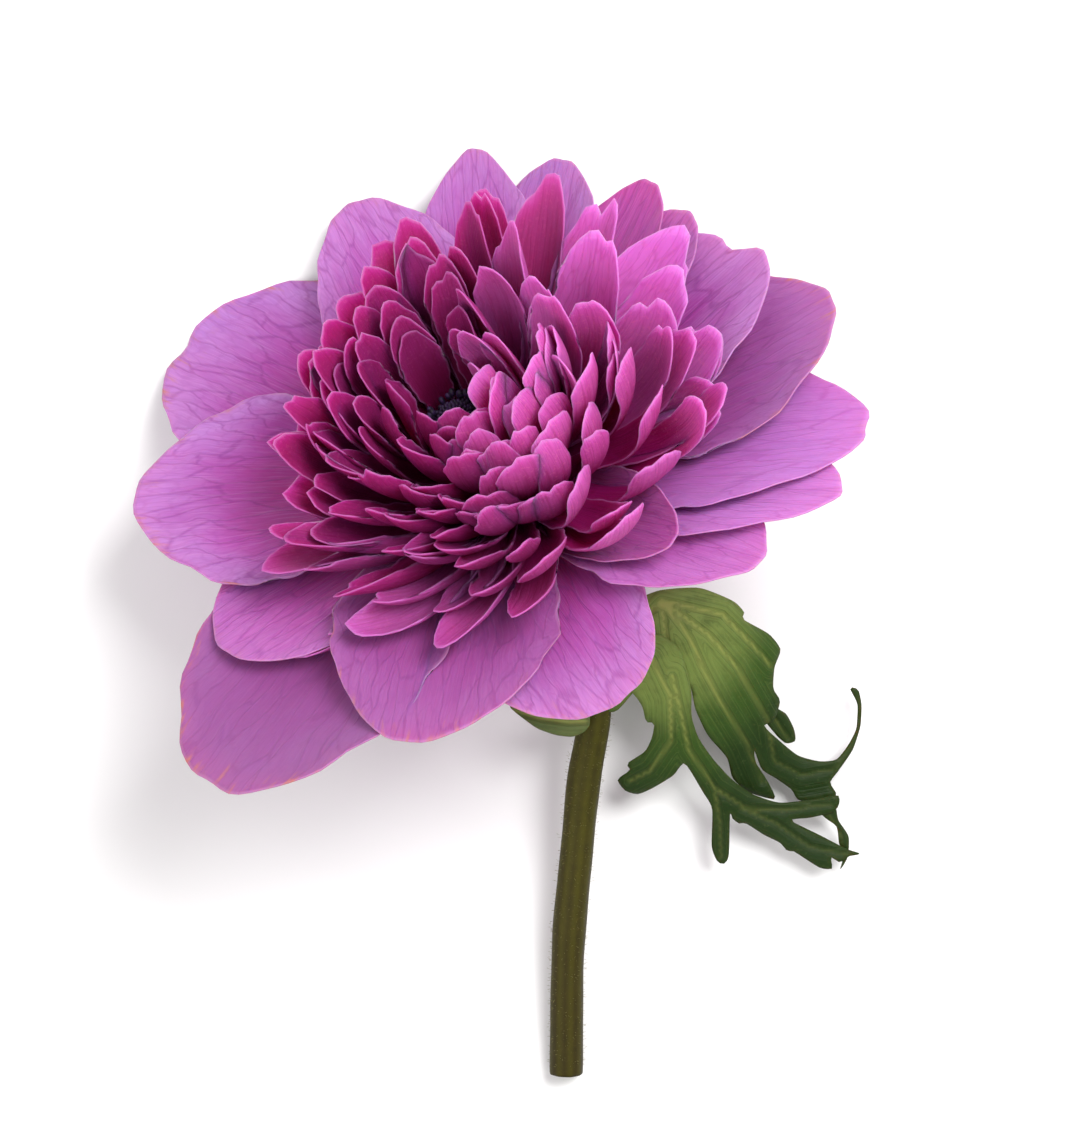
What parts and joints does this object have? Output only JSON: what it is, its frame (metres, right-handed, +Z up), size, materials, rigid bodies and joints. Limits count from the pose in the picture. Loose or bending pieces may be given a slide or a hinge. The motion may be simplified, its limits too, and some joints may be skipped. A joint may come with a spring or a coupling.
{
  "type": "anemone flower",
  "caption": "Double anemone in bloom, cut and laid down, with crowded inner petals, wide outer tepals, a curved stem and deeply cut leaves.",
  "frame": {"origin": "centre of the flower's footprint on the surface that it lies on", "axes": "+Z up from the surface; +Y along the flower from the stem's cut end to the bloom; +X to the right"},
  "size_m": [0.0832, 0.1079, 0.057],
  "materials": {
    "stem": "olive green, finely downy, satin",
    "tepals": "pale lilac with fine darker veins, soft sheen",
    "petals": "deep magenta, velvety",
    "centre": "near-black violet, rough",
    "leaf": "leaf green with yellowish veins, satin"
  },
  "bodies": {
    "root": {"stem": "stem", "outer_tepals": "tepals", "inner_petals": "petals", "centre": "centre", "bract_right": "leaf", "bract_left": "leaf", "bract_back": "leaf"}
  },
  "joints": []
}
